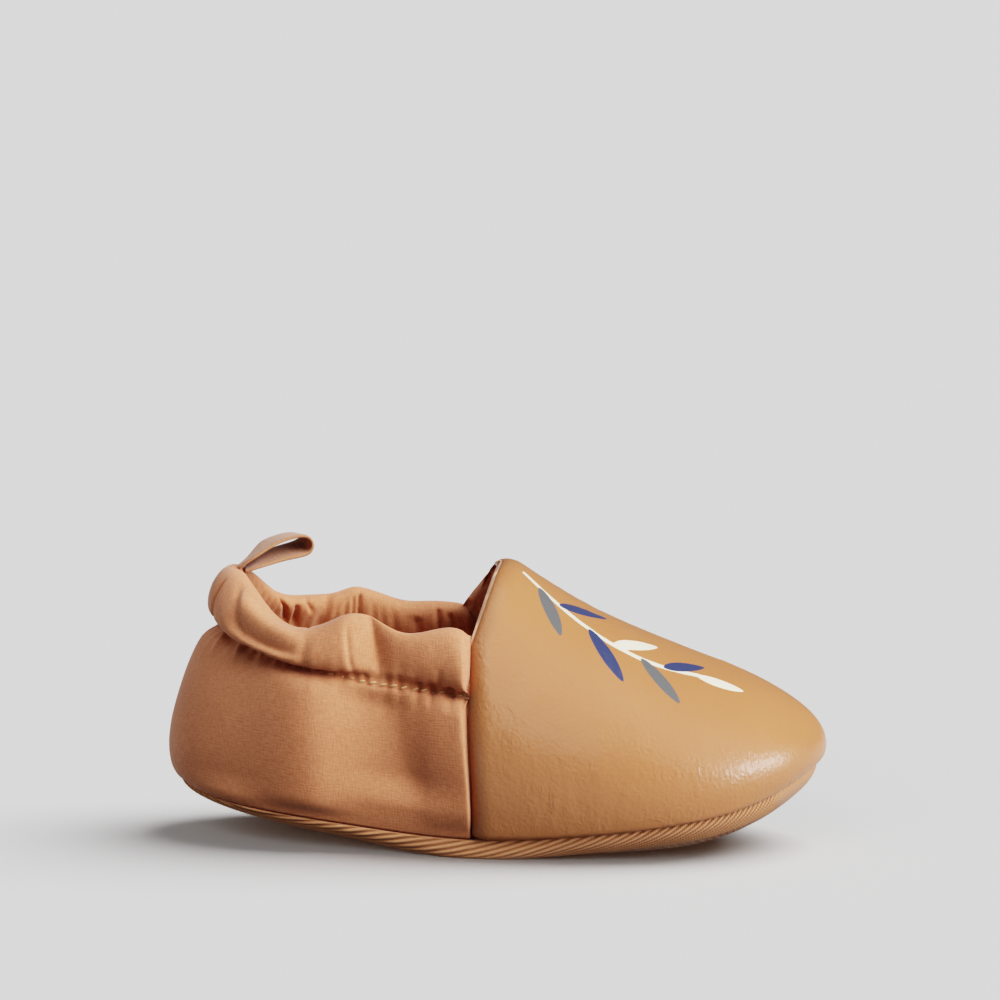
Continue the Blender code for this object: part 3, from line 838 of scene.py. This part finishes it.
def sewingThread(name):
    # spun polyester thread: pale, a little shiny, twisted
    made, tree, shader = newMaterial(name)
    place = addNode(tree, "ShaderNodeTexCoord").outputs["Object"]
    twist = noisy(tree, place, 1 / (0.3 * mm), 2.0)
    colour = mixed(tree, twist, tint("#BC8860"), tint("#E8BD90"))
    setInputs(tree, shader, {"Base Color": colour, "Roughness": 0.5})
    return made


def newTree(name, sockets):
    tree = bpy.data.node_groups.new(name, "GeometryNodeTree")
    tree.interface.new_socket("Geometry", in_out="INPUT", socket_type="NodeSocketGeometry")
    for label, kind in sockets:
        tree.interface.new_socket(label, in_out="INPUT", socket_type="NodeSocket" + kind)
    tree.interface.new_socket("Geometry", in_out="OUTPUT", socket_type="NodeSocketGeometry")
    return tree, addNode(tree, "NodeGroupInput").outputs


def endTree(tree, geometry, material):
    real = fromNode(tree, "GeometryNodeRealizeInstances", {0: geometry})
    done = fromNode(tree, "GeometryNodeSetMaterial", {"Geometry": real, "Material": material})
    addNode(tree, "NodeGroupOutput", {0: done})
    return tree


def kept(tree, name, kind):
    return fromNode(tree, "GeometryNodeInputNamedAttribute", {"Name": name}, data_type=kind)


def runTree(piece, tree, values):
    # sets the inputs by identifier, then turns the result into a plain mesh
    modifier = piece.modifiers.new(tree.name, "NODES")
    modifier.node_group = tree
    for item in tree.interface.items_tree:
        if item.in_out == "INPUT" and item.name in values:
            modifier[item.identifier] = values[item.name]
    evaluated = piece.evaluated_get(bpy.context.evaluated_depsgraph_get())
    mesh = bpy.data.meshes.new_from_object(evaluated)
    piece.modifiers.remove(modifier)
    old = piece.data
    mesh.name = piece.name
    piece.data = mesh
    bpy.data.meshes.remove(old)


def ribTree():
    # moves the cloth along its normal in rounded ribs, where ribShow says so
    sockets = [("Pitch", "Float"), ("Height", "Float"), ("Angle", "Float"), ("Material", "Material")]
    tree, given = newTree("twillRibs", sockets)
    inputs = {"Vector": kept(tree, "twillPlan", "FLOAT_VECTOR"), "Angle": given["Angle"]}
    turned = fromNode(tree, "ShaderNodeVectorRotate", inputs, rotation_type="Z_AXIS", invert=True)
    across = addNode(tree, "ShaderNodeSeparateXYZ", {0: turned}).outputs["Y"]
    turns = maths(tree, "DIVIDE", across, given["Pitch"])
    wave = maths(tree, "COSINE", maths(tree, "MULTIPLY", turns, 2 * math.pi))
    raised = maths(tree, "MULTIPLY", wave, given["Height"])
    shown = maths(tree, "MULTIPLY", raised, kept(tree, "ribShow", "FLOAT"))
    move = scaled(tree, fromNode(tree, "GeometryNodeInputNormal"), shown)
    inputs = {"Geometry": given["Geometry"], "Offset": move}
    moved = fromNode(tree, "GeometryNodeSetPosition", inputs)
    return endTree(tree, moved, given["Material"])


stitchSizes = {
    "pitch": 2.05, "length": 1.35, "thickness": 0.42, "slant": 0.4, "lift": 0.24, "sink": 0.34, "endGap": 1.6,
    "heelEnd": 34.0, "heelFade": 6.0, "wobble": (0.1, 0.12, 0.12), "seed": 4,
}


def stitchTree():
    # thread segments along a path, each turned to the path and to the cloth it lies on
    sockets = [(name, "Float") for name in ("Pitch", "Length", "Thickness", "Slant")]
    tree, given = newTree("collarStitches", sockets + [("Seed", "Int"), ("Material", "Material")])
    path = fromNode(tree, "GeometryNodeMeshToCurve", {0: given["Geometry"]})
    inputs = {"Curve": path, "Length": given["Pitch"]}
    spaced = fromNode(tree, "GeometryNodeResampleCurve", inputs, mode="LENGTH")
    tangent = fromNode(tree, "GeometryNodeInputTangent")
    turn = fromNode(tree, "FunctionNodeAlignRotationToVector", {"Vector": tangent}, axis="X")
    inputs = {"Rotation": turn, "Vector": kept(tree, "clothOut", "FLOAT_VECTOR")}
    turn = fromNode(tree, "FunctionNodeAlignRotationToVector", inputs, axis="Z", pivot_axis="X")
    most = stitchSizes["wobble"]
    inputs = {"Min": [-v for v in most], "Max": most, "Seed": given["Seed"]}
    wobble = fromNode(tree, "FunctionNodeRandomValue", inputs, data_type="FLOAT_VECTOR")
    slant = fromNode(tree, "ShaderNodeCombineXYZ", {"Z": given["Slant"]})
    tip = fromNode(tree, "ShaderNodeVectorMath", {0: wobble, 1: slant}, operation="ADD")
    tip = fromNode(tree, "FunctionNodeEulerToRotation", {0: tip})
    inputs = {"Rotation": turn, "Rotate By": tip}
    turn = fromNode(tree, "FunctionNodeRotateRotation", inputs, rotation_space="LOCAL")
    inputs = {"X": given["Length"], "Y": given["Thickness"], "Z": given["Thickness"]}
    size = fromNode(tree, "ShaderNodeCombineXYZ", inputs)
    inputs = {"Segments": 8, "Rings": 6, "Radius": 0.5}
    ball = fromNode(tree, "GeometryNodeMeshUVSphere", inputs)
    ball = fromNode(tree, "GeometryNodeSetShadeSmooth", {"Geometry": ball})
    inputs = {"Points": spaced, "Instance": ball, "Rotation": turn, "Scale": size}
    laid = fromNode(tree, "GeometryNodeInstanceOnPoints", inputs)
    return endTree(tree, laid, given["Material"])


def makeStitches(name, line, outward, arc, thread):
    p = stitchSizes
    keep = np.abs(arc) < arc[-1] - p["endGap"]
    lift = p["lift"] - p["sink"] * smooth((p["heelEnd"] - np.abs(arc[keep])) / p["heelFade"])
    points = placed(line[keep] + outward[keep] * lift[:, None]) * mm
    mesh = bpy.data.meshes.new(name)
    mesh.from_pydata(points, [(i, i + 1) for i in range(len(points) - 1)], [])
    keepValues(mesh, "clothOut", outward[keep], "FLOAT_VECTOR")
    piece = inScene(name, mesh)
    values = {label: p[label.lower()] * mm for label in ("Pitch", "Length", "Thickness")}
    runTree(piece, stitchTree(), {**values, "Slant": p["slant"], "Seed": p["seed"], "Material": thread})
    print("sewn", name, len(piece.data.polygons), "faces")
    return piece


# Printed sprigs, laid out in mm along the instep from the throat and round from the ridge (near side minus)
printSizes = {
    "stemWidth": 1.2, "stemSteps": 60, "throatX": -1.0, "leafForm": (0.875, 0.6, 0.7), "far": 9.0,
}
stems = (
    ((4, -6), (12, -11), (21, -14.5), (30, -15.5), (39, -14)),
    ((8, 6), (17, 10), (27, 12.5), (37, 11.5)),
)
# along, round, heading in degrees, length, width, ink
leaves = (
    (7, -8, -68, 12, 4.4, "inkGrey"),
    (11, -10.4, 32, 11.5, 4.2, "inkNavy"),
    (17, -13.2, -56, 12.5, 4.4, "inkNavy"),
    (22, -14.7, 36, 11, 4.2, "inkCream"),
    (27.5, -15.3, -48, 11.5, 4.2, "inkGrey"),
    (32, -15.4, 34, 10, 4.0, "inkNavy"),
    (38.5, -14.2, -4, 9.5, 4.0, "inkCream"),
    (11, 7.4, 66, 11.5, 4.4, "inkNavy"),
    (15, 9.2, -34, 10.5, 4.2, "inkCream"),
    (21, 11, 58, 12, 4.4, "inkGrey"),
    (26, 12.3, -36, 11, 4.2, "inkNavy"),
    (31, 12.4, 46, 11, 4.2, "inkCream"),
    (36.5, 11.6, -6, 10, 4.0, "inkGrey"),
)


def vertexUv(mesh):
    uv = np.empty(len(mesh.loops) * 2, np.float32)
    mesh.uv_layers["clothMm"].data.foreach_get("uv", uv)
    vert = np.empty(len(mesh.loops), np.int32)
    mesh.loops.foreach_get("vertex_index", vert)
    plan = np.zeros((len(mesh.vertices), 3), np.float32)
    plan[vert, :2] = uv.reshape(-1, 2)
    return plan


def printOn(piece):
    # distance in mm from the edge of each ink, minus inside it
    plan = vertexUv(piece.data)
    p, q = plan[:, 0], plan[:, 1]
    s = printSizes
    full, rise, fall = s["leafForm"]
    ink = {name: np.full(len(p), s["far"]) for name in ("inkCream", "inkGrey", "inkNavy")}
    for points in stems:
        fine = np.linspace(0, len(points) - 1, s["stemSteps"])
        line = np.stack([along(c, fine, (False, False)) for c in zip(*points)], -1)
        gap = np.hypot(p[:, None] - line[None, :, 0], q[:, None] - line[None, :, 1]).min(1)
        ink["inkCream"] = np.minimum(ink["inkCream"], gap - s["stemWidth"] / 2)
    for atP, atQ, heading, length, width, name in leaves:
        c, d = math.cos(math.radians(heading)), math.sin(math.radians(heading))
        a = (p - atP) * c + (q - atQ) * d
        b = -(p - atP) * d + (q - atQ) * c
        f = np.clip(a / length, 0, 1)
        past = np.abs(b) - width * full * f**rise * (1 - f) ** fall
        ink[name] = np.minimum(ink[name], np.hypot(past, a - f * length) * np.sign(past + 1e-6))
    for name, value in ink.items():
        keepValues(piece.data, name, np.clip(value, -s["far"], s["far"]))


def paintSeamShade(piece, edge):
    # painted shade for the seam crease: 1 at the sewn edge, fading within a few mm
    tree = KDTree(len(edge))
    for i, point in enumerate(edge):
        tree.insert(point, i)
    tree.balance()
    gap = np.array([tree.find(v.co)[2] for v in piece.data.vertices]) / mm
    keepValues(piece.data, "paintedSeamShade", bell(gap, vampSizes["paintedSeamShade"]))


def keepSoleAttributes(piece):
    # plan of the laid-out twill and where its ribs are raised, for the rib tree
    z = soleSizes
    mesh = piece.data
    co, normal = (np.empty(len(mesh.vertices) * 3, np.float32) for _ in range(2))
    mesh.vertices.foreach_get("co", co)
    mesh.vertices.foreach_get("normal", normal)
    co, normal = co.reshape(-1, 3) / mm, normal.reshape(-1, 3)
    outer = (normal[:, :2] * co[:, :2]).sum(1) > 0
    (low, rise), (toeX, fade) = z["ribsFrom"], z["plainToe"]
    show = smooth((co[:, 2] - low) / rise) * smooth((toeX - co[:, 0]) / fade)
    keepValues(mesh, "twillPlan", vertexUv(mesh), "FLOAT_VECTOR")
    keepValues(mesh, "ribShow", show * (normal[:, 2] < z["ribsFacing"]) * outer)


def dress(piece, material, slot, *nodes):
    if not piece.data.materials:
        piece.data.materials.append(material)
    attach(piece, "root")
    if nodes:
        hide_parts(*nodes)


cotton = wovenCotton("plain woven cotton, brushed", "#C37E59", "#CF8E69", "#AE6C4A")
# painted light: the lining and insole cotton is drawn paler and greyer than the outer cotton, to lighten the
# shaded inside of the shoe
liningCottonPaintedLight = wovenCotton("plain woven cotton lining", "#C8987C", "#D6A88C", "#B4866A", sheen=0.15)
tapeCotton = wovenCotton("woven cotton tape", "#AC7454", "#BE8868", "#906040", thread=0.45, slub=3.0)
thread = sewingThread("spun polyester thread")
twill = ribbedTwill("ribbed cotton twill")
inks = {"inkCream": "#F4EACB", "inkGrey": "#5C5C5C", "inkNavy": "#373D5E"}
leather = fauxLeather("cast polyurethane faux leather, printed", inks)

quarter, stitchLine, stitchOut, innerLine, innerOut, arcLine = makeQuarter()
dress(quarter, cotton, "upper_cotton", "upper")
vamp, sewnEdge = makeVamp()
printOn(vamp)
paintSeamShade(vamp, sewnEdge)
dress(vamp, leather, "vamp_leather", "vamp")
vampLining = makeVampLining()
dress(vampLining, liningCottonPaintedLight, "upper_cotton")
sole = makeSole()
keepSoleAttributes(sole)
ribs = {"Pitch": soleSizes["ribPitch"], "Height": soleSizes["ribHeight"] / 2 * mm}
ribs.update({"Angle": math.radians(soleSizes["ribAngle"]), "Material": twill})
runTree(sole, ribTree(), ribs)
dress(sole, twill, "sole_twill", "outsole")
insole = makeInsole()
dress(insole, liningCottonPaintedLight, "insole_cotton", "insole")
loop = makeLoop()
dress(loop, tapeCotton, "loop_tape", "pull_loop")
outerStitches = makeStitches("collarStitchesOuter", stitchLine, stitchOut, arcLine, thread)
dress(outerStitches, thread, "upper_cotton")
innerStitches = makeStitches("collarStitchesInner", innerLine, innerOut, arcLine, thread)
dress(innerStitches, thread, "upper_cotton")

# Studio: wide pale floor with suns of its own, suns for the shoe alone, and two softboxes
studio = {
    "elevation": 6.0, "roll": 1.5, "distance": 1.0, "lens": 196.2, "sensor": 36.0, "near": 0.05,
    "aim": (0.00073, 0.0, 0.06224), "floor": "#D9D9D9", "floorReach": 60.0,
    "worldStrength": 0.12, "lightHeight": 0.025, "sunDistance": 2.0,
}
# name, where it comes from, strength, angle, whether the floor alone is lit or all but the floor
suns = (
    ("top", (0.52, 0.3, 0.8), 4.2, 58.0, "INCLUDE"),
    ("fill", (-0.35, -0.8, 0.3), 1.4, 50.0, "INCLUDE"),
    ("front", (0.77, -0.395, 0.5), 6.1, 55.0, "EXCLUDE"),
    ("left", (-0.95, 0.22, 0.06), 0.9, 60.0, "EXCLUDE"),
    ("sky", (-0.1, -0.12, 0.98), 1.15, 70.0, "EXCLUDE"),
)
# softboxes that only give highlights: a strong one for the toe, a broad weak one for the grain
# name, where it comes from, distance, power, width, height
softboxes = (
    ("key", (0.94, -0.22, 0.11), 0.85, 4.6, 0.5, 0.16),
    ("glint", (0.04, -0.8, 0.6), 0.9, 2.0, 0.35, 0.9),
)


def makeFloor():
    mesh = bpy.data.meshes.new("floor")
    work = bmesh.new()
    bmesh.ops.create_grid(work, x_segments=1, y_segments=1, size=studio["floorReach"])
    work.to_mesh(mesh)
    work.free()
    floor = inScene("floor", mesh)
    made, tree, shader = newMaterial("matt studio paper")
    paper = {"Base Color": tint(studio["floor"]), "Roughness": 1.0, "Specular IOR Level": 0.0}
    setInputs(tree, shader, paper)
    mesh.materials.append(made)
    floor.visible_diffuse = False  # black flags beside the shoe: the paper throws no light up on it
    return floor


def makeLight(name, kind, direction, distance, **settings):
    data = bpy.data.lights.new(name, kind)
    for key, value in settings.items():
        setattr(data, key, value)
    light = inScene(name, data)
    back = unit(np.array(direction, float))
    light.location = Vector(back * distance) + Vector((0, 0, studio["lightHeight"]))
    light.rotation_euler = Vector(back).to_track_quat("Z", "Y").to_euler()
    return light


def makeCamera():
    s = studio
    e, r = math.radians(s["elevation"]), math.radians(s["roll"])
    turn = Matrix(((math.cos(r), 0, -math.sin(r)), (0, 1, 0), (math.sin(r), 0, math.cos(r))))
    right = turn @ Vector((1, 0, 0))
    top = turn @ Vector((0, math.sin(e), math.cos(e)))
    back = turn @ Vector((0, -math.cos(e), math.sin(e)))
    data = bpy.data.cameras.new("camera")
    data.lens, data.sensor_width = s["lens"], s["sensor"]
    data.clip_start, data.clip_end = s["near"], 2 * s["floorReach"]
    camera = inScene("camera", data)
    camera.matrix_world = Matrix((right, top, back)).transposed().to_4x4()
    camera.location = turn @ Vector(s["aim"]) + back * s["distance"]
    scene.camera = camera


floor = makeFloor()
makeCamera()
for name, source, strength, wide, state in suns:
    settings = {"energy": strength, "angle": math.radians(wide)}
    light = makeLight(name + "Light", "SUN", source, studio["sunDistance"], **settings)
    light.visible_glossy = name == "sky"
    flag = bpy.data.collections.new(name + "Flag")
    flag.objects.link(floor)
    flag.collection_objects[0].light_linking.link_state = state
    light.light_linking.receiver_collection = flag
for name, source, distance, power, wide, high in softboxes:
    settings = {"energy": power, "shape": "RECTANGLE", "size": wide, "size_y": high}
    makeLight(name + "Softbox", "AREA", source, distance, **settings).visible_diffuse = False
world = bpy.data.worlds.new("studioAir")
world.use_nodes = True
air = {"Color": (1.0, 1.0, 1.0, 1.0), "Strength": studio["worldStrength"]}
setInputs(world.node_tree, world.node_tree.nodes["Background"], air)
scene.world = world
scene.view_settings.view_transform = "Filmic"
scene.view_settings.look = "High Contrast"
print("lit and framed")
